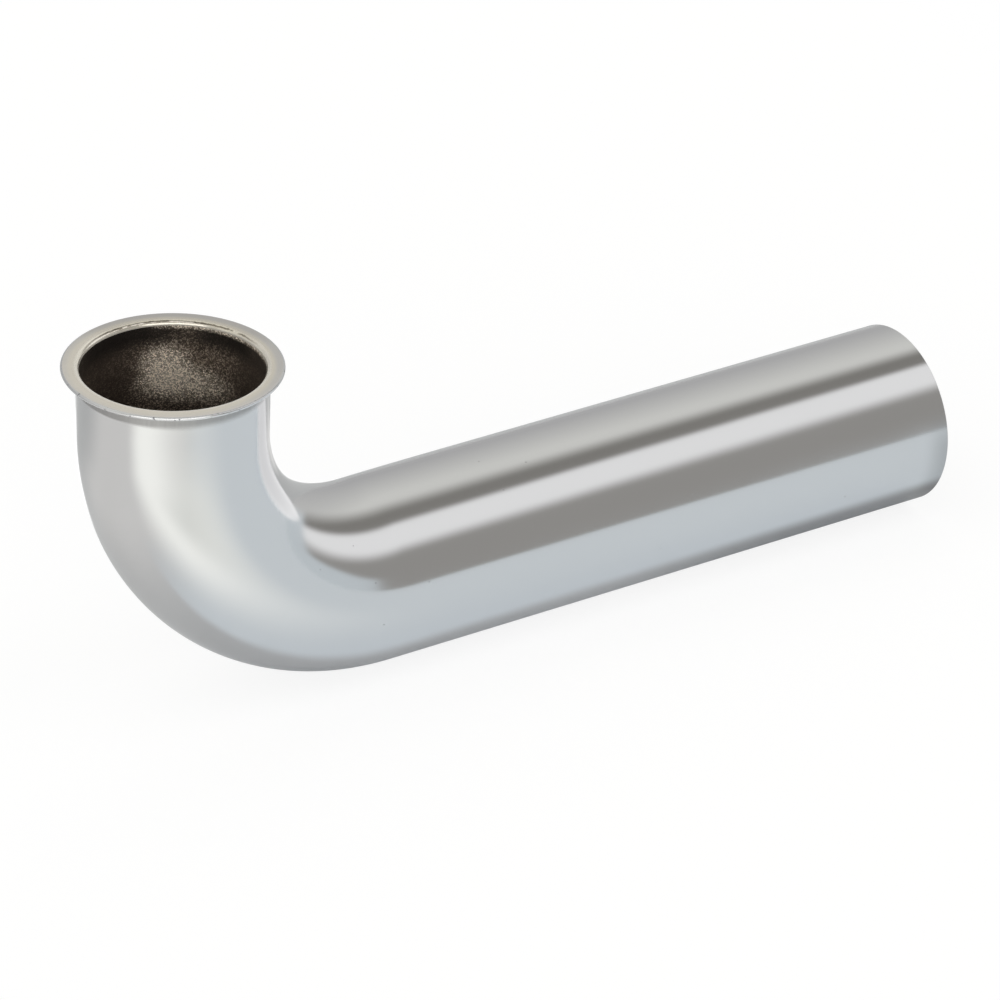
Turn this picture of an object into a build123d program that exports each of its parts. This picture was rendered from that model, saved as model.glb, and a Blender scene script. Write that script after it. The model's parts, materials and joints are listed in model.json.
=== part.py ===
"""Flanged waste arm: one length of thin brass tube, flared at its inlet and bent once at a right angle.

The inlet axis is Z and the flange's sealing face lies in the plane Z = 0, facing up.
The bend lies in the XZ plane and the plain outlet end points along +X.
"""

import os
from math import cos, radians, sin

from build123d import *

# Driving dimensions, in millimetres and degrees
tube_od = 38.1  # 1 1/2 in tubular drain pipe
tube_wall = 0.81  # 20 gauge brass
flange_projection = 2.85  # flange rim beyond the outside of the tube
flare_root_radius = 0.2  # outside of the tube to the underside of the flange
inlet_leg = 14.3  # flange face to the start of the bend
bend_radius = 44.45  # of the tube's centreline: 1 3/4 in
bend_angle = 90.0
arm_reach = 177.8  # inlet axis to the outlet end: 7 in
outlet_chamfer = 0.2  # deburred edges of the cut outlet end
chamfer_share_of_wall = 0.45  # most of the wall that one chamfer may take

# Sizes that follow from them
tube_radius = tube_od / 2
bore_radius = tube_radius - tube_wall
flange_radius = tube_radius + flange_projection
rim_radius = tube_wall / 2  # the flange's rim is fully rounded
rim_centre = (flange_radius - rim_radius, -rim_radius)
flare_face_radius = flare_root_radius + tube_wall  # bore to flange face, concentric with the root
flare_centre = (tube_radius + flare_root_radius, -flare_face_radius)
arm_length = (arm_reach - bend_radius * (1 - cos(radians(bend_angle)))) / sin(radians(bend_angle))

# Centreline of the leg and the bend, which places the bend and the arm
with BuildLine(Plane.XZ):
    leg_line = Line((0, -flare_face_radius), (0, -inlet_leg))
    bend_line = JernArc(leg_line @ 1, leg_line % 1, bend_radius, bend_angle)

leg_start = Plane(origin=leg_line @ 0, x_dir=(0, 1, 0), z_dir=leg_line % 0)
bend_start = Plane(origin=bend_line @ 0, x_dir=(0, 1, 0), z_dir=bend_line % 0)
arm_start = Plane(origin=bend_line @ 1, x_dir=(0, 1, 0), z_dir=bend_line % 1)
bend_axis = Axis(bend_line.arc_center, (0, -1, 0))

with BuildPart() as waste_arm:
    # The tube: leg, bend and arm as solid rods first, and then the bore through all three
    for radius, mode in ((tube_radius, Mode.ADD), (bore_radius, Mode.SUBTRACT)):
        with BuildSketch(leg_start):
            Circle(radius)
        extrude(amount=leg_line.length, mode=mode)
        with BuildSketch(bend_start):
            Circle(radius)
        revolve(axis=bend_axis, revolution_arc=bend_angle, mode=mode)
        with BuildSketch(arm_start):
            Circle(radius)
        extrude(amount=arm_length, mode=mode)

    # The flare: the same wall turned outwards through a right angle, ending in a flat flange
    with BuildSketch(Plane.XZ):
        with BuildLine():
            face_bend = CenterArc(flare_centre, flare_face_radius, 90, 90)
            root_bend = CenterArc(flare_centre, flare_root_radius, 90, 90)
            rim = CenterArc(rim_centre, rim_radius, -90, 180)
            Line(face_bend @ 0, rim @ 1)
            Line(root_bend @ 0, rim @ 0)
            Line(face_bend @ 1, root_bend @ 1)
        make_face()
    revolve(axis=Axis.Z)

    # The outlet: sawn square and deburred inside and out
    outlet_face = waste_arm.faces().filter_by(GeomType.PLANE).sort_by(Axis.X)[-1]
    chamfer(outlet_face.edges(), length=min(outlet_chamfer, chamfer_share_of_wall * tube_wall))

waste_arm.part.label = "waste_arm"

os.makedirs("parts", exist_ok=True)
export_step(waste_arm.part, "parts/waste_arm.step")
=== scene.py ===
"""A chromed waste arm on a pale floor: the tube, its finishes, and the light that the chrome mirrors."""

import json
import math

import bmesh
import bpy
from bpy.props import FloatProperty, FloatVectorProperty, IntProperty, PointerProperty
from mathutils import Matrix, Vector


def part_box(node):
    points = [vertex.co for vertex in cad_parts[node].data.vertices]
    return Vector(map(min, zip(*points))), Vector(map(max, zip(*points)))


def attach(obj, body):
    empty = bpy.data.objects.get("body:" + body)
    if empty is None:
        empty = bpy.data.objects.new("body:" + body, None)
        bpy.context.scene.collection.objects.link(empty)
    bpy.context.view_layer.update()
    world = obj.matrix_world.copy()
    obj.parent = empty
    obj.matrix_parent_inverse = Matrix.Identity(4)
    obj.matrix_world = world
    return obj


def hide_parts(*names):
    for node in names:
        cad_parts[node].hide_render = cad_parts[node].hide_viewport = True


bl_info = {
    "name": "Flanged waste arm",
    "version": (1, 0, 0),
    "blender": (4, 5, 0),
    "location": "View3D > Sidebar > Waste arm",
    "description": "Builds a chromed waste arm with a flared inlet, and a studio to show it in",
    "category": "Add Mesh",
}

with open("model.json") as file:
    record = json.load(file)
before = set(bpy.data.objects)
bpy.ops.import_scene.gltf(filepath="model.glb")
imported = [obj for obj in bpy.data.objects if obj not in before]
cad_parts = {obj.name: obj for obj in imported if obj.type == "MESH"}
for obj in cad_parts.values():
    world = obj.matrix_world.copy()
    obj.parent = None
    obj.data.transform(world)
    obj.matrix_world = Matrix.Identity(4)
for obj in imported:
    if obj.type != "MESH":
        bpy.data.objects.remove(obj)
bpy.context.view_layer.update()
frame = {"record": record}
MM = 0.001


def mount(name):
    """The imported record's mount of that name."""
    return next(m for m in frame["record"]["mounts"] if m["name"] == name)


# Sizes that the solid already holds
NODE_LOW, NODE_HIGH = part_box("waste_arm")
SPIGOT = mount("outlet_spigot")
TUBE_RADIUS = SPIGOT["dims"]["r_mm"] * MM
TUBE_WALL = -mount("nut_seat")["pos_m"][2]
ARM_HEIGHT = SPIGOT["pos_m"][2]
FLANGE_RADIUS = -NODE_LOW.x
ARM_REACH = NODE_HIGH.x
OUTLET_CHAMFER = 0.2 * MM
BEND_RADIUS = ARM_REACH - OUTLET_CHAMFER - SPIGOT["dims"]["length_mm"] * MM
INLET_LEG = -ARM_HEIGHT - BEND_RADIUS
FLOOR_HEIGHT = ARM_HEIGHT - TUBE_RADIUS


def length(name, description, default):
    """A size in metres that a user may change."""
    return FloatProperty(name=name, description=description, default=default, unit="LENGTH", precision=5)


def angle(name, description, degrees):
    """An angle that a user may change."""
    return FloatProperty(name=name, description=description, default=math.radians(degrees), unit="ROTATION")


def amount(name, description, default):
    """A plain number that a user may change."""
    return FloatProperty(name=name, description=description, default=default, precision=4)


def colour(name, description, default):
    """A colour that a user may change."""
    return FloatVectorProperty(
        name=name, description=description, default=default, subtype="COLOR", size=3, min=0.0, soft_max=1.0
    )


class WasteArmTube(bpy.types.PropertyGroup):
    """Sizes of the tube."""

    tube_radius: length("Tube radius", "Outside radius of the tube", TUBE_RADIUS)
    tube_wall: length("Wall", "Thickness of the brass", TUBE_WALL)
    flange_radius: length("Flange radius", "Outside radius of the flange", FLANGE_RADIUS)
    root_radius: length("Root radius", "Rounding between the tube and the flange's underside", 0.2 * MM)
    inlet_leg: length("Inlet leg", "Flange face to the start of the bend", INLET_LEG)
    bend_radius: length("Bend radius", "Radius of the bend's centreline", BEND_RADIUS)
    arm_reach: length("Reach", "Inlet axis to the outlet end", ARM_REACH)
    outlet_chamfer: length("Outlet chamfer", "Deburred edges of the outlet", OUTLET_CHAMFER)
    segments: IntProperty(name="Segments", description="Faces around the tube", default=320, min=24)
    bend_steps: IntProperty(name="Bend steps", description="Faces along the bend", default=64, min=8)


class WasteArmFinish(bpy.types.PropertyGroup):
    """Colours and roughness of the finishes."""

    chrome: colour("Chrome", "Colour of the chrome plate", (0.60, 0.60, 0.605))
    chrome_roughness: amount("Chrome roughness", "Roughness of the polished plate", 0.13)
    # Painted shade: the colour of the lower side of the outlet end
    outlet_shade: colour("Dulled chrome", "Colour of the plate at the sawn outlet", (0.44, 0.44, 0.445))
    collar: colour("Collar", "Colour of the brushed plate below the flange", (0.285, 0.28, 0.28))
    collar_depth: length("Collar depth", "Flange face to the lower edge of the brushed plate", 3.8 * MM)
    lip: colour("Lip", "Colour of the unpolished plate on the flange face", (0.74, 0.695, 0.605))
    lip_edge: colour("Lip edge", "Colour of the flange face near its rim", (0.60, 0.585, 0.565))
    # The flange face is lighter towards one side and in random clouds; this is its colour there
    lip_pale: colour("Pale lip", "Colour of the flange face where it is buffed brighter", (0.84, 0.79, 0.71))
    lip_roughness: amount("Lip roughness", "Roughness of the flange face", 0.33)
    bore: colour("Bore", "Darkest colour of the bare metal in the bore", (0.040, 0.029, 0.022))
    bore_light: colour("Bore grain", "Lightest colour of the grain in the bore", (0.36, 0.29, 0.225))
    # Painted light: the colour of the patch and streak of light painted in the bore
    bore_painted_light: colour("Bore patch", "Colour of the brighter patch in the bore", (0.98, 0.85, 0.70))
    # Painted shade: the colour painted under the bore's mouth
    painted_shade: colour("Bore soot", "Colour of the soot under the bore's mouth", (0.008, 0.006, 0.005))
    bore_roughness: amount("Bore roughness", "Roughness of the bare metal", 0.5)


class WasteArmStudio(bpy.types.PropertyGroup):
    """Camera and light."""

    azimuth: angle("Azimuth", "Camera's turn about Z from looking along +Y", -33.727)
    elevation: angle("Elevation", "Camera's height above the horizon", 29.247)
    roll: angle("Roll", "Camera's turn about its own axis", 1.707)
    distance: length("Distance", "Camera to the point that it looks at", 1.2382)
    lens: amount("Lens", "Focal length in millimetres", 220.376)
    target: FloatVectorProperty(
        name="Target",
        description="Point that the camera looks at",
        default=(0.07041, -0.01041, -0.04505),
        subtype="TRANSLATION",
    )
    softbox: colour("Softbox", "Light of the long overhead softbox", (1.16, 1.16, 1.16))
    fill: colour("Fill", "Light of the panel behind the object", (0.91, 0.91, 0.87))
    fill_low: colour("Low fill", "Light of that panel near the horizon", (0.56, 0.56, 0.56))
    key: colour("Key", "Light of the low panel behind the camera", (2.2, 2.2, 2.15))
    again: colour("Second mirroring", "Light of the room where chrome mirrors chrome", (1.6, 1.6, 1.6))
    gap: colour("Gap", "Light of the strip between softbox and panel", (0.305, 0.295, 0.275))
    shade: colour("Shade", "Light of the room in front, below the softbox", (0.42, 0.41, 0.39))
    sweep: colour("Sweep", "Light of the paper that rises at the front", (0.77, 0.835, 0.87))
    floor_glow: colour("Floor glow", "Glow that the chrome sees on the floor", (0.075, 0.085, 0.095))
    floor: colour("Floor front", "Glow on the floor in front", (0.315, 0.375, 0.42))
    floor_left: colour("Floor left", "Glow on the floor at the left", (0.345, 0.34, 0.335))
    floor_pool: colour("Floor pool", "Glow of the pool of light at the front left", (0.87, 0.88, 0.83))
    floor_mid: colour("Floor middle", "Glow between that pool and the front", (0.52, 0.54, 0.50))
    floor_back: colour("Floor back", "Glow of the patch of light behind the bend", (1.0, 1.0, 1.0))
    floor_leg: colour("Floor behind", "Glow of the patch of light behind the leg", (0.40, 0.40, 0.40))


class Wire:
    """A shader socket that takes part in Python arithmetic."""

    def __init__(self, socket):
        self.socket = socket

    def _math(self, operation, first, second):
        tree = self.socket.id_data
        node = tree.nodes.new("ShaderNodeMath")
        node.operation = operation
        for place, value in zip(node.inputs, (first, second)):
            if isinstance(value, Wire):
                tree.links.new(value.socket, place)
            else:
                place.default_value = value
        return Wire(node.outputs[0])

    def __add__(self, other):
        return self._math("ADD", self, other)

    def __sub__(self, other):
        return self._math("SUBTRACT", self, other)

    def __mul__(self, other):
        return self._math("MULTIPLY", self, other)

    def __pow__(self, other):
        return self._math("POWER", self, other)

    def __rsub__(self, other):
        return self._math("SUBTRACT", other, self)

    def arcsine(self):
        return self._math("ARCSINE", self, 0.0)

    __radd__ = __add__
    __rmul__ = __mul__


class NodeTree:
    """Makes the nodes of one shader tree."""

    def __init__(self, tree):
        self.tree = tree
        tree.nodes.clear()

    def node(self, kind, output, settings=None, sockets=None):
        """A new node with its settings, and then its sockets set or linked; returns one of its outputs."""
        made = self.tree.nodes.new(kind)
        for name, value in (settings or {}).items():
            setattr(made, name, value)
        for name, value in (sockets or {}).items():
            if isinstance(value, Wire):
                self.tree.links.new(value.socket, made.inputs[name])
            else:
                made.inputs[name].default_value = value
        return Wire(made.outputs[output]) if output is not None else made

    def noise(self, place, scale, detail=2.0, roughness=0.5):
        """Smooth noise around one half."""
        sockets = {"Vector": place, "Scale": scale, "Detail": detail, "Roughness": roughness}
        return self.node("ShaderNodeTexNoise", "Fac", None, sockets)

    def cells(self, place, scale, output):
        """Random cells: the distance from each one's middle, or its own random colour."""
        return self.node("ShaderNodeTexVoronoi", output, None, {"Vector": place, "Scale": scale})

    def step(self, value, low, high, curve="SMOOTHSTEP"):
        """A step from nought at low to one at high, smooth or straight."""
        sockets = {"Value": value, "From Min": low, "From Max": high}
        return self.node("ShaderNodeMapRange", "Result", {"interpolation_type": curve}, sockets)

    def mix(self, factor, first, second):
        """A colour between two others."""
        colours = {6: opaque(first), 7: opaque(second)}
        return self.node("ShaderNodeMix", 2, {"data_type": "RGBA"}, {0: factor, **colours})

    def within(self, value, span):
        """One inside a span, nought outside; each end has its place and half its softness."""
        (low, low_soft), (high, high_soft) = span
        start = self.step(value, low - low_soft, low + low_soft)
        return start * (1.0 - self.step(value, high - high_soft, high + high_soft))

    def vector(self, operation, first, second, output="Vector"):
        """Vector maths, whose result is a vector or a value."""
        return self.node("ShaderNodeVectorMath", output, {"operation": operation}, {0: first, 1: second})

    def part(self, vector, axis):
        """One component of a vector."""
        return self.node("ShaderNodeSeparateXYZ", axis, None, {"Vector": vector})

    def along(self, place, direction):
        """How far a place lies along a direction."""
        return self.vector("DOT_PRODUCT", place, direction, "Value")

    def bump(self, height, distance, strength=1.0):
        """A normal tilted by a height in metres."""
        sockets = {"Height": height, "Distance": distance, "Strength": strength}
        return self.node("ShaderNodeBump", "Normal", None, sockets)


def opaque(value):
    """A colour with its alpha, where it is plain numbers."""
    return value if isinstance(value, Wire) else (*value, 1.0)


def metal(name, build):
    """A material of one Principled metal, whose sockets come from build."""
    material = bpy.data.materials.new(name)
    material.use_nodes = True
    nodes = NodeTree(material.node_tree)
    place = nodes.node("ShaderNodeTexCoord", "Object")
    surface = nodes.node("ShaderNodeBsdfPrincipled", "BSDF", None, build(nodes, place))
    nodes.node("ShaderNodeOutputMaterial", None, None, {"Surface": surface})
    return material


# Spacing of the plate's smears, ripples, pits, streaks below the flange and rim nicks, as noise scales
SMEAR_SCALE, RIPPLE_SCALE, PIT_SCALE, BRUSH_SCALE, NICK_SCALE = 55.0, 38.0, 150.0, 2400.0, 1100.0
PIT_EDGE, NICK_EDGE = (0.010, 0.028), (0.66, 0.72)
PIT_COLOUR = (0.22, 0.22, 0.23)
RIPPLE_RISE = 0.06 * MM
# The darker, streaked band below the flange: the side on which its lower edge fades out, where along it, and
# half its softness
COLLAR_SOFT, COLLAR_FADE = (0.83, -0.56, 0.0), (-12.0 * MM, 4.0 * MM)
COLLAR_SHARP, COLLAR_BLUR, COLLAR_WAVER = 0.2 * MM, 0.7 * MM, 0.5 * MM
BAND_STREAK_LIGHT, BRUSH_STRETCH = (0.43, 0.425, 0.42), (1.0, 1.0, 0.06)
# The arm is a little out of round towards its outlet: the part of its upper side, and how far it stands out
LEAN_ARC, LEAN_RISE = (math.radians(17), math.radians(74)), 0.79 * MM
# Painted shade on the lower side of the plate at the sawn outlet: its depth, and how far up the side it
# fades, in tube radii
SAWN_DEPTH, SAWN_FADE = 7.0 * MM, 0.5


def chrome_plate(finish, tube):
    """Polished chrome with a slow ripple, faint smears and a few pits; a darker, streaked band below the
    flange, and painted shade on the lower side at the outlet.
    """

    def build(nodes, place):
        smear = nodes.noise(place, SMEAR_SCALE, 4.0, 0.6)
        ripple = nodes.noise(place, RIPPLE_SCALE, 1.0)
        pit = 1.0 - nodes.step(nodes.cells(place, PIT_SCALE, "Distance"), *PIT_EDGE)
        reach, height = nodes.part(place, "X"), nodes.part(place, "Z")

        lean = nodes.step(reach, tube.bend_radius, tube.arm_reach, "LINEAR")
        above = (height + tube.inlet_leg + tube.bend_radius) * (1.0 / tube.tube_radius)
        lean = lean * nodes.step(above.arcsine(), *LEAN_ARC) * (LEAN_RISE / RIPPLE_RISE)

        soft = COLLAR_SHARP + nodes.step(nodes.along(place, COLLAR_SOFT), *COLLAR_FADE) * COLLAR_BLUR
        edge = height + finish.collar_depth + (smear - 0.5) * COLLAR_WAVER
        rim = nodes.step(height, -tube.tube_wall, -0.9 * tube.tube_wall)
        # A darker, rougher, streaked band below the flange
        collar = nodes.step(edge, -1.0 * soft, soft) * (1.0 - rim)
        drawn = nodes.vector("MULTIPLY", place, BRUSH_STRETCH)
        streak = nodes.noise(drawn, BRUSH_SCALE, 3.0, 0.6)
        banded = nodes.mix(streak * 0.7, finish.collar, BAND_STREAK_LIGHT)

        # Painted shade on the lower side of the outlet end
        low = 1.0 - nodes.step(above, 0.0, SAWN_FADE)
        sawn = nodes.step(reach, tube.arm_reach - SAWN_DEPTH, tube.arm_reach) * low
        nick = rim * nodes.step(nodes.noise(place, NICK_SCALE, 1.0), *NICK_EDGE)
        plate = nodes.mix(sawn, finish.chrome, finish.outlet_shade)
        plate = nodes.mix(pit + nick, plate, PIT_COLOUR)
        polish = finish.chrome_roughness + (smear - 0.5) * 0.05 + pit * 0.4
        return {
            "Base Color": nodes.mix(collar, plate, banded),
            "Metallic": 1.0,
            "Roughness": polish + collar * 0.28 + rim * 0.12,
            "Normal": nodes.bump(ripple - pit * 0.1 + collar * streak * 0.35 + lean, RIPPLE_RISE),
        }

    return metal("chrome_plate", build)


# Spacing of the flange face's grain, burrs, clouds and turning marks, as noise scales
GRAIN_SCALE, BURR_SCALE, CLOUD_SCALE, RING_SCALE = 3400.0, 900.0, 220.0, 5200.0
GRAIN_COLOUR, EDGE_HIGHLIGHT_COLOUR, CREASE_COLOUR = (0.30, 0.265, 0.235), (0.95, 0.92, 0.86), (0.16, 0.135, 0.10)
LIP_RISE, THROAT_ROUGHNESS = 0.03 * MM, 0.12
# The side towards which the flange face is a little lighter, and the side where its inner edge is creased
LIP_LIGHT, LIP_CREASED = (-0.90, -0.44, 0.0), (0.56, 0.83, 0.0)
# How far along that second side the creases start and are full, and the painted highlight on the inner edge
# fades out
CREASED_FADE, EDGE_HIGHLIGHT_FADE = (8.0 * MM, 15.0 * MM), (-14.0 * MM, 3.0 * MM)
# How far outside the tube the cooler band by the rim starts and is full, and its lean towards the lighter
# side
EDGE_BAND, EDGE_SKEW = (0.6 * MM, 1.9 * MM), 0.022
# Heights between which the crease lies, with half their softness, and how far the burrs move it
CREASE_SPAN, CREASE_WAVER = ((-0.34 * MM, 0.05 * MM), (-0.14 * MM, 0.05 * MM)), 0.3 * MM
# Heights between which the flange face turns into the throat
THROAT = (-0.9 * MM, -0.3 * MM)


def satin_lip(finish, tube):
    """Plate that was never buffed: warm grey grain, cooler at the rim, lighter towards one side, smooth into
    the bore, with a highlight painted pale on its inner edge.
    """

    def build(nodes, place):
        radius = nodes.vector("LENGTH", nodes.vector("MULTIPLY", place, (1.0, 1.0, 0.0)), place, "Value")
        height = nodes.part(place, "Z")
        light = nodes.along(place, LIP_LIGHT)
        far = nodes.along(place, LIP_CREASED)
        creased = nodes.step(far, *CREASED_FADE)
        grain = nodes.noise(place, GRAIN_SCALE, 3.0, 0.7)
        burr = nodes.noise(place, BURR_SCALE, 2.0)
        cloud = nodes.noise(place, CLOUD_SCALE, 3.0)
        outwards = nodes.node("ShaderNodeCombineXYZ", "Vector", None, {"X": radius})
        rings = nodes.noise(outwards, RING_SCALE, 1.0)

        brow = tube.tube_radius + tube.root_radius
        turn = 1.0 - nodes.step(radius, tube.tube_radius - 0.1 * MM, brow + 0.25 * MM)
        throat = 1.0 - nodes.step(height, *THROAT)
        band = (tube.tube_radius + depth for depth in EDGE_BAND)
        outer = nodes.step(radius - light * EDGE_SKEW, *band)
        # Painted highlight: a pale inner edge on the near side, fading towards the far side
        ring = turn * (1.0 - nodes.step(far, *EDGE_HIGHLIGHT_FADE) * 0.65) * (1.0 - creased)
        crease = nodes.within(height + (burr - 0.5) * CREASE_WAVER, CREASE_SPAN)
        crease = crease * creased * nodes.step(cloud, 0.42, 0.50)

        plain = nodes.mix(outer, finish.lip, finish.lip_edge)
        # Lighter towards one side and in random clouds
        pale = (cloud - 0.4) * 0.4 + nodes.step(light, -tube.tube_radius, tube.tube_radius) * 0.6 - 0.1
        clouded = nodes.mix(pale, plain, finish.lip_pale)
        dark = (grain - 0.5) * (0.9 - outer * 0.5) + creased * 0.22
        grained = nodes.mix(dark, clouded, GRAIN_COLOUR)
        edged = nodes.mix(ring * 0.7, grained, EDGE_HIGHLIGHT_COLOUR)
        rougher = (1.0 - turn) * (finish.lip_roughness - THROAT_ROUGHNESS)
        return {
            "Base Color": nodes.mix(crease * 0.9, edged, CREASE_COLOUR),
            "Metallic": 1.0 - (throat + ring - throat * ring) * 0.7,
            "Roughness": THROAT_ROUGHNESS + rougher + (cloud - 0.5) * 0.12,
            "Normal": nodes.bump(grain * 0.6 + rings * 0.4 + turn * burr, LIP_RISE, 0.6),
        }

    return metal("satin_lip", build)


# Spacing of the bore's grain, clumps and patches, as noise scales
FLECK_SCALE, CLUMP_SCALE, PATCH_SCALE = 4800.0, 700.0, 110.0
BORE_RISE, BORE_SHINE = 0.2 * MM, 0.2
# The side of the bore where painted light brightens the grain, and the side of its mouth where a reflection
# of the lip is painted, and how far along each the painted light starts and is full
BORE_LIGHT, BORE_FADE = (0.616, 0.788, 0.0), (13.0 * MM, 18.5 * MM)
MOUTH_LIGHT, MOUTH_FADE = (0.906, 0.423, 0.0), (11.5 * MM, 15.5 * MM)
# Heights over which the painted shade under the mouth and the painted reflection of the lip at the mouth
# come in
PAINTED_SHADE_TOP, MOUTH_TOP = (-7.5 * MM, -3.0 * MM), (-1.9 * MM, -1.0 * MM)
# The painted shade at the top all round, and what two sides add: direction, and where it starts and is full
PAINTED_SHADE_ROUND, PAINTED_SHADE_MORE = 0.5, 0.43
PAINTED_SHADE_SIDES = (
    ((-0.09, 0.996, 0.0), 13.0 * MM, 17.5 * MM),
    ((0.906, 0.423, 0.0), 16.4 * MM, 18.0 * MM),
)
# The patch of light painted on the bore's wall and the painted streak of light below it: stretch, middle as
# stretched, and reach
PAINTED_LIT_PATCH = ((1.0, 1.0, 1.0), (7.7 * MM, 16.5 * MM, -10.3 * MM), 7.2 * MM)
PAINTED_LIT_STREAK = ((1.0, 1.0, 2.2), (11.2 * MM, 14.4 * MM, -30.4 * MM), 12.4 * MM)
# The full core of both, and how ragged they are
PAINTED_LIT_CORE, PAINTED_LIT_RAGGED = 0.5 * MM, 5.0 * MM


def bare_bore(finish):
    """Bare tube metal, darkened and rough: crisp sparkling grain and brown patches, with painted shade under
    the mouth, a painted reflection of the lip at the mouth, and painted light on the far wall and in a patch
    and streak.
    """

    def build(nodes, place):
        grain = nodes.part(nodes.cells(place, FLECK_SCALE, "Color"), "X")
        clump = nodes.noise(place, CLUMP_SCALE, 3.0, 0.6)
        patch = nodes.noise(place, PATCH_SCALE, 2.0)
        ragged = (clump - 0.5) * PAINTED_LIT_RAGGED

        def painted_lit_spot(stretch, centre, reach):
            stretched = nodes.vector("MULTIPLY", place, stretch)
            apart = nodes.vector("DISTANCE", stretched, centre, "Value") + ragged
            return 1.0 - nodes.step(apart, PAINTED_LIT_CORE, reach)

        height = nodes.part(place, "Z")
        # Painted light: the grain is lighter on the far wall, where the light falls
        light = nodes.step(nodes.along(place, BORE_LIGHT), *BORE_FADE)
        # Painted shade under the bore's mouth, deepest on two sides
        painted_shade = PAINTED_SHADE_ROUND
        for side, start, full in PAINTED_SHADE_SIDES:
            painted_shade = nodes.step(nodes.along(place, side), start, full) * PAINTED_SHADE_MORE + painted_shade
        painted_shade = nodes.step(height, *PAINTED_SHADE_TOP) * painted_shade
        # Painted reflection of the lip: the top of the mouth is lighter on one side
        mouth = nodes.step(height, *MOUTH_TOP)
        mouth = mouth * nodes.step(nodes.along(place, MOUTH_LIGHT), *MOUTH_FADE)
        sparkle = grain ** 4.0 * 2.9 + nodes.step(clump, 0.35, 0.65) * 0.2
        bare = nodes.mix(sparkle * (light * 0.45 + patch * 0.2), finish.bore, finish.bore_light)
        bare = nodes.mix(painted_shade, bare, finish.painted_shade)
        # Painted light: the lit patch and streak on the far wall, and the painted reflection of the lip at
        # the mouth
        painted_light_mask = painted_lit_spot(*PAINTED_LIT_PATCH) * (1.0 - painted_shade) + painted_lit_spot(*PAINTED_LIT_STREAK) * 0.9 + mouth * 0.6
        return {
            "Base Color": nodes.mix(painted_light_mask * (0.20 + sparkle), bare, finish.bore_painted_light),
            "Metallic": 0.0,
            "Specular IOR Level": BORE_SHINE,
            "Roughness": finish.bore_roughness + (clump - 0.5) * 0.25,
            "Normal": nodes.bump(grain * 0.5 + clump * 0.5, BORE_RISE, 0.8),
        }

    return metal("bare_bore", build)


CHROME, LIP, BORE = range(3)
X_AXIS, Y_AXIS, Z_AXIS = Vector((1, 0, 0)), Vector((0, 1, 0)), Vector((0, 0, 1))
RIM_STEPS, FLARE_STEPS, LEG_STEPS, ARM_STEPS = 8, 12, 2, 8
QUARTER = math.pi / 2
NEAR = 2e-6  # two places closer than this are one


def only(kind, geometry):
    """The elements of one kind in a bmesh operator's result."""
    return [element for element in geometry if isinstance(element, kind)]


def dress(bm, dressed, material):
    """Gives the faces that are not yet dressed their material."""
    for face in set(bm.faces) - dressed:
        face.smooth = True
        face.material_index = material
        dressed.add(face)


def arc(bm, vertex, centre, turn, steps):
    """Draws an arc in the XZ plane from a vertex, and returns its last vertex."""
    made = bmesh.ops.spin(bm, geom=[vertex], cent=centre, axis=Y_AXIS, angle=turn, steps=steps)
    return only(bmesh.types.BMVert, made["geom_last"])[0]


def line(bm, vertex, end):
    """Draws a straight run from a vertex, and returns its last vertex."""
    made = bmesh.ops.extrude_vert_indiv(bm, verts=[vertex])
    made["verts"][0].co = end
    return made["verts"][0]


def revolve_section(bm, edges, segments):
    """Turns a section once about Z."""
    section = list({vertex for edge in edges for vertex in edge.verts}) + edges
    bmesh.ops.spin(
        bm, geom=section, cent=(0, 0, 0), axis=Z_AXIS, angle=math.tau, steps=segments, use_merge=True
    )


def ring_at(bm, height, radius):
    """The edges of the ring about Z at a height and radius."""

    def on_ring(vertex):
        return abs(vertex.co.z - height) < NEAR and abs(vertex.co.xy.length - radius) < NEAR

    return [edge for edge in bm.edges if all(on_ring(vertex) for vertex in edge.verts)]


def draw_on(bm, ring, move, steps):
    """Draws a ring of edges on along a straight, and returns the last ring."""
    for _ in range(steps):
        made = bmesh.ops.extrude_edge_only(bm, edges=ring)["geom"]
        fresh = set(only(bmesh.types.BMVert, made))
        bmesh.ops.translate(bm, verts=list(fresh), vec=move / steps)
        ring = [edge for edge in only(bmesh.types.BMEdge, made) if fresh.issuperset(edge.verts)]
    return ring


def bend_on(bm, ring, centre, turn, steps):
    """Draws a ring of edges on round a bend, and returns the last ring."""
    geometry = list({vertex for edge in ring for vertex in edge.verts}) + ring
    made = bmesh.ops.spin(bm, geom=geometry, cent=centre, axis=-Y_AXIS, angle=turn, steps=steps)
    return only(bmesh.types.BMEdge, made["geom_last"])


def tube_wall(bm, tube, ring, end_radius):
    """Takes one side of the wall from the flare along leg, bend and arm; returns its rings at the outlet."""
    flare_depth = tube.root_radius + tube.tube_wall
    ring = draw_on(bm, ring, Z_AXIS * (flare_depth - tube.inlet_leg), LEG_STEPS)
    ring = bend_on(bm, ring, (tube.bend_radius, 0, -tube.inlet_leg), QUARTER, tube.bend_steps)
    straight = tube.arm_reach - tube.outlet_chamfer - tube.bend_radius
    ring = draw_on(bm, ring, X_AXIS * straight, ARM_STEPS)
    edge = draw_on(bm, ring, X_AXIS * tube.outlet_chamfer, 1)
    resize_outlet(bm, tube, edge, end_radius)
    return ring, edge


def resize_outlet(bm, tube, ring, radius):
    """Gives a ring on the outlet's end face another radius."""
    vertices = list({vertex for edge in ring for vertex in edge.verts})
    share = radius / (vertices[0].co - outlet_centre(tube)).yz.length
    place = Matrix.Translation(-outlet_centre(tube))
    bmesh.ops.scale(bm, verts=vertices, vec=(1, share, share), space=place)


def outlet_centre(tube):
    """Centre of the outlet's end face."""
    return Vector((tube.arm_reach, 0, -tube.inlet_leg - tube.bend_radius))


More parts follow.
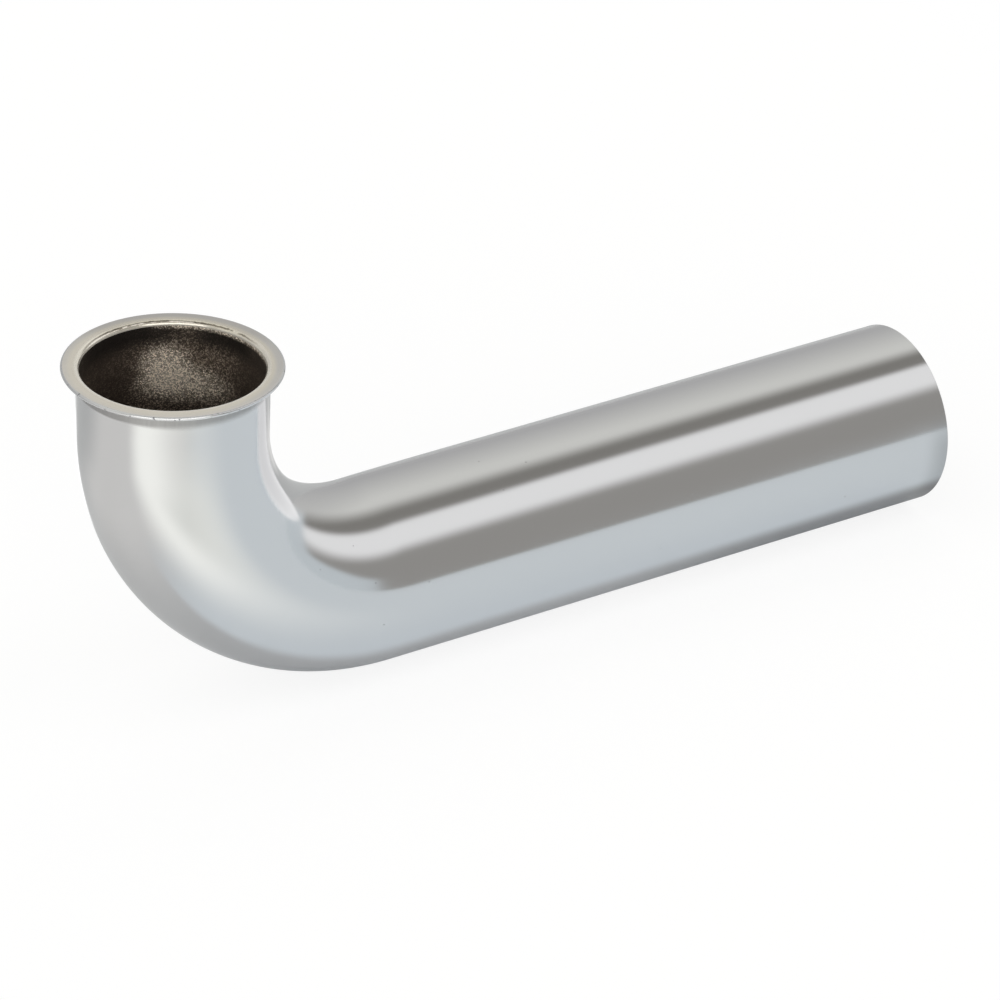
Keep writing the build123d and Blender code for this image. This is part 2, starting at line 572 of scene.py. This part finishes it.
def build_tube(tube):
    """The whole tube as one closed wall."""
    bm = bmesh.new()
    dressed = set()
    rim = tube.tube_wall / 2
    rim_centre = Vector((tube.flange_radius - rim, 0, -rim))
    flare_centre = Vector((tube.tube_radius + tube.root_radius, 0, -tube.root_radius - tube.tube_wall))
    bore_radius = tube.tube_radius - tube.tube_wall

    # Flange face: from the rim inwards and down into the bore
    top = bm.verts.new((rim_centre.x, 0, 0))
    brow = line(bm, top, (flare_centre.x, 0, 0))
    arc(bm, brow, flare_centre, -QUARTER, FLARE_STEPS)
    revolve_section(bm, bm.edges[:], tube.segments)
    dress(bm, dressed, LIP)

    # Rim and underside: from the same point round the rim and into the outside of the tube
    before = set(bm.edges)
    top = bm.verts.new((rim_centre.x, 0, 0))
    under = arc(bm, top, rim_centre, 2 * QUARTER, 2 * RIM_STEPS)
    root = line(bm, under, (flare_centre.x, 0, -tube.tube_wall))
    arc(bm, root, flare_centre, -QUARTER, FLARE_STEPS)
    revolve_section(bm, [edge for edge in bm.edges if edge not in before], tube.segments)
    dress(bm, dressed, CHROME)

    # Outside and bore: leg, bend and arm, and the wall's end between them
    outer_lip = tube.tube_radius - tube.outlet_chamfer
    inner_lip = bore_radius + tube.outlet_chamfer
    outside, outside_end = tube_wall(bm, tube, ring_at(bm, flare_centre.z, tube.tube_radius), outer_lip)
    end_face = draw_on(bm, outside_end, Vector(), 1)
    resize_outlet(bm, tube, end_face, inner_lip)
    dress(bm, dressed, CHROME)
    inside, inside_end = tube_wall(bm, tube, ring_at(bm, flare_centre.z, bore_radius), inner_lip)
    dress(bm, dressed, BORE)

    for edge in outside + outside_end + inside + inside_end:
        edge.smooth = False
    bmesh.ops.remove_doubles(bm, verts=bm.verts[:], dist=NEAR)
    bmesh.ops.recalc_face_normals(bm, faces=bm.faces[:])
    return bm


class WASTEARM_OT_tube(bpy.types.Operator):
    """Build the flared and bent tube with its chrome, satin and bare finishes"""

    bl_idname = "wastearm.tube"
    bl_label = "Tube"

    def execute(self, context):
        tube, finish = context.scene.waste_arm_tube, context.scene.waste_arm_finish
        mesh = bpy.data.meshes.new("waste_arm_tube")
        bm = build_tube(tube)
        bm.to_mesh(mesh)
        bm.free()
        for material in (chrome_plate(finish, tube), satin_lip(finish, tube), bare_bore(finish)):
            mesh.materials.append(material)
        piece = bpy.data.objects.new("waste_arm_tube", mesh)
        context.scene.collection.objects.link(piece)
        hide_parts("waste_arm")
        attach(piece, "root")
        return {"FINISHED"}


def heading(azimuth, elevation):
    """The direction at an azimuth from +X and an elevation, in degrees."""
    turn, rise = math.radians(azimuth), math.radians(elevation)
    return Vector((math.cos(rise) * math.cos(turn), math.cos(rise) * math.sin(turn), math.sin(rise)))


# Straight edges of the light panels, each through two headings, with half its softness
SOFTBOX_LOW_EDGE = (heading(-17, 1.6), heading(-52.2, 37.5), 0.12)
SOFTBOX_HIGH_EDGE = (heading(-0.5, 0), heading(-22.2, 58.5), 0.07)
FILL_EDGE = (heading(14.7, 35.8), heading(19.9, 58.9), 0.16)
# The paper's crest in front: where along X it starts to rise and to fall, its heights, and half its softness
CREST_START, CREST_FALL = (0.53, 0.61), (0.70, 0.90)
CREST_LOW, CREST_RISE, CREST_DROP, CREST_SOFT = -0.09, 0.238, 0.128, 0.04
# The low panel behind the camera, which only the flange mirrors: its right, its width and height, and where
# it fades out along Y and along X
KEY_RIGHT = heading(-34, 0)
KEY_WIDTH, KEY_RISE = ((-0.60, 0.05), (0.60, 0.05)), ((-0.06, 0.04), (0.55, 0.03))
KEY_FADE_Y, KEY_FADE_X = (-0.4, -0.2), (0.2, 0.3)
# How the panel behind the object falls off: its slope, and where it is dimmest and brightest
FILL_SLOPE, FILL_FADE = 0.76, (-0.75, 0.15)
# Mirrored once, the room is as above; mirrored again, it is plain
MIRRORED_AGAIN = (1.4, 1.6)
WHITE = (1.0, 1.0, 1.0)


def beyond(nodes, direction, edge):
    """One on the far side of a panel's edge, nought on the near side."""
    low, high, soft = edge
    across = low.cross(high).normalized()
    if across.y < 0:
        across.negate()
    return nodes.step(nodes.along(direction, across), -soft, soft)


def studio_world(studio):
    """White to the camera; to everything else a room with a long softbox, a gap and a pale panel."""
    world = bpy.data.worlds.new("studio")
    world.use_nodes = True
    nodes = NodeTree(world.node_tree)
    direction = nodes.node("ShaderNodeTexCoord", "Generated")
    parts = nodes.node("ShaderNodeSeparateXYZ", None, None, {"Vector": direction})
    along, across, rise = (Wire(parts.outputs[axis]) for axis in "XYZ")
    bright = nodes.step(rise * FILL_SLOPE - across, *FILL_FADE, "LINEAR")
    panel = nodes.mix(bright, studio.fill_low, studio.fill)
    fall = nodes.step(along, *CREST_FALL, "LINEAR")
    crest = nodes.step(along, *CREST_START) * CREST_RISE - fall * fall * CREST_DROP + CREST_LOW
    room = nodes.mix(beyond(nodes, direction, SOFTBOX_LOW_EDGE), studio.shade, studio.softbox)
    room = nodes.mix(beyond(nodes, direction, SOFTBOX_HIGH_EDGE), room, studio.gap)
    room = nodes.mix(nodes.step(crest - rise, -CREST_SOFT, CREST_SOFT), room, studio.sweep)
    room = nodes.mix(beyond(nodes, direction, FILL_EDGE), room, panel)
    key = nodes.within(nodes.along(direction, KEY_RIGHT), KEY_WIDTH) * nodes.within(rise, KEY_RISE)
    key = key * (1.0 - nodes.step(across, *KEY_FADE_Y)) * (1.0 - nodes.step(along, *KEY_FADE_X))
    room = nodes.mix(key, room, studio.key)
    mirrored = nodes.node("ShaderNodeLightPath", "Glossy Depth")
    room = nodes.mix(nodes.step(mirrored, *MIRRORED_AGAIN), room, studio.again)
    seen = nodes.node("ShaderNodeLightPath", "Is Camera Ray")
    shown = nodes.mix(seen, room, WHITE)
    light = nodes.node("ShaderNodeBackground", "Background", None, {"Color": shown})
    nodes.node("ShaderNodeOutputWorld", None, None, {"Surface": light})
    return world


# The floor's paper, where it is lit and where it is in deeper shade
FLOOR_GREY, FLOOR_DIM = 0.64, 0.43
# What the camera sees of it: the strength of a white glow, and that glow's share
FLOOR_WHITE, FLOOR_WHITE_SHARE = 1.2, 0.7
FAR = 3.0
# Edges of the floor: X range and Y range
FLOOR_X, FLOOR_Y = (-FAR, 0.33), (-0.53, FAR)
# Soft-edged patches of light on it: setting, and the ends of its X range and Y range with their softness.
# The light falls across it a little aslant of the arm.
FLOOR_SLANT = 0.012
OPEN_LOW, OPEN_HIGH = (-FAR, 0.04), (FAR, 0.04)
FLOOR_PATCHES = (
    ("floor_left", (OPEN_LOW, (-0.03, 0.04)), (OPEN_LOW, (0.09, 0.035))),
    ("floor", ((-0.03, 0.03), OPEN_HIGH), (OPEN_LOW, (-0.0156, 0.0035))),
    ("floor_pool", (OPEN_LOW, (0.022, 0.05)), ((-0.126, 0.05), (-0.040, 0.022))),
    ("floor_mid", ((-0.06, 0.04), (0.02, 0.05)), ((-0.126, 0.05), (-0.066, 0.014))),
    ("floor_back", ((0.002, 0.012), (0.095, 0.012)), ((0.072, 0.014), (0.132, 0.014))),
    ("floor_leg", ((0.060, 0.020), (0.124, 0.016)), ((0.031, 0.012), (0.071, 0.005))),
)
# The deeper shade under the arm's outlet end: X range and Y range
SHADE_X, SHADE_Y = ((0.125, 0.03), OPEN_HIGH), ((-0.0156, 0.004), (0.03, 0.01))


def floor_material(studio):
    """A white floor that keeps the shadow; the chrome also sees the patches of light that fall on it."""
    material = bpy.data.materials.new("floor")
    material.use_nodes = True
    nodes = NodeTree(material.node_tree)
    place = nodes.node("ShaderNodeTexCoord", "Object")
    parts = nodes.node("ShaderNodeSeparateXYZ", None, None, {"Vector": place})
    along, across = (Wire(parts.outputs[axis]) for axis in "XY")
    across = across + along * FLOOR_SLANT
    glow = studio.floor_glow
    for name, wide, deep in FLOOR_PATCHES:
        patch = nodes.within(along, wide) * nodes.within(across, deep)
        glow = nodes.mix(patch, glow, getattr(studio, name))
    paper, dim = (
        nodes.node("ShaderNodeBsdfDiffuse", "BSDF", None, {"Color": (grey, grey, grey, 1.0)})
        for grey in (FLOOR_GREY, FLOOR_DIM)
    )
    shade = nodes.within(along, SHADE_X) * nodes.within(across, SHADE_Y)
    shaded = nodes.node("ShaderNodeMixShader", "Shader", None, {0: shade, 1: paper, 2: dim})
    mirrored_glow = nodes.node("ShaderNodeEmission", "Emission", None, {"Color": glow})
    mirrored = nodes.node("ShaderNodeAddShader", "Shader", None, {0: shaded, 1: mirrored_glow})
    white = nodes.node("ShaderNodeEmission", "Emission", None, {"Strength": FLOOR_WHITE})
    shown = nodes.node("ShaderNodeMixShader", "Shader", None, {0: FLOOR_WHITE_SHARE, 1: paper, 2: white})
    seen = nodes.node("ShaderNodeLightPath", "Is Camera Ray")
    both = nodes.node("ShaderNodeMixShader", "Shader", None, {0: seen, 1: mirrored, 2: shown})
    nodes.node("ShaderNodeOutputMaterial", None, None, {"Surface": both})
    return material


def studio_floor(scene, studio):
    """A large floor just under the arm."""
    mesh = bpy.data.meshes.new("floor")
    bm = bmesh.new()
    bmesh.ops.create_grid(bm, x_segments=1, y_segments=1, size=0.5)
    (left, right), (front, back) = FLOOR_X, FLOOR_Y
    bmesh.ops.scale(bm, verts=bm.verts[:], vec=(right - left, back - front, 1))
    middle = Vector(((left + right) / 2, (front + back) / 2, FLOOR_HEIGHT))
    bmesh.ops.translate(bm, verts=bm.verts[:], vec=middle)
    bm.to_mesh(mesh)
    bm.free()
    mesh.materials.append(floor_material(studio))
    floor = bpy.data.objects.new("floor", mesh)
    scene.collection.objects.link(floor)


def studio_camera(scene, studio):
    """A long lens, turned and rolled as it was held."""
    data = bpy.data.cameras.new("camera")
    data.lens = studio.lens
    data.clip_end = 100.0
    camera = bpy.data.objects.new("camera", data)
    turn = Matrix.Rotation(studio.azimuth, 4, "Z")
    tilt = Matrix.Rotation(QUARTER - studio.elevation, 4, "X")
    roll = Matrix.Rotation(studio.roll, 4, "Z")
    back = Matrix.Translation((0, 0, studio.distance))
    camera.matrix_world = Matrix.Translation(studio.target) @ turn @ tilt @ roll @ back
    scene.collection.objects.link(camera)
    scene.camera = camera


class WASTEARM_OT_stage(bpy.types.Operator):
    """Build the floor, the light and the camera"""

    bl_idname = "wastearm.stage"
    bl_label = "Stage"

    def execute(self, context):
        scene = context.scene
        studio = scene.waste_arm_studio
        scene.world = studio_world(studio)
        studio_floor(scene, studio)
        studio_camera(scene, studio)
        scene.view_settings.view_transform = "Standard"
        return {"FINISHED"}


class VIEW3D_PT_waste_arm(bpy.types.Panel):
    """The operators and their settings"""

    bl_label = "Waste arm"
    bl_space_type = "VIEW_3D"
    bl_region_type = "UI"
    bl_category = "Waste arm"

    def draw(self, context):
        groups = (
            (WASTEARM_OT_tube.bl_idname, ("waste_arm_tube", "waste_arm_finish")),
            (WASTEARM_OT_stage.bl_idname, ("waste_arm_studio",)),
        )
        for operator, settings in groups:
            box = self.layout.box()
            box.operator(operator)
            for name in settings:
                group = getattr(context.scene, name)
                for prop in group.__annotations__:
                    box.prop(group, prop)


SETTINGS = {
    "waste_arm_tube": WasteArmTube,
    "waste_arm_finish": WasteArmFinish,
    "waste_arm_studio": WasteArmStudio,
}
CLASSES = (*SETTINGS.values(), WASTEARM_OT_tube, WASTEARM_OT_stage, VIEW3D_PT_waste_arm)


def register():
    for cls in CLASSES:
        bpy.utils.register_class(cls)
    for name, group in SETTINGS.items():
        setattr(bpy.types.Scene, name, PointerProperty(type=group))


def unregister():
    for name in SETTINGS:
        delattr(bpy.types.Scene, name)
    for cls in reversed(CLASSES):
        bpy.utils.unregister_class(cls)


def main():
    register()
    bpy.ops.wastearm.tube()
    bpy.ops.wastearm.stage()


if __name__ == "__main__":
    main()
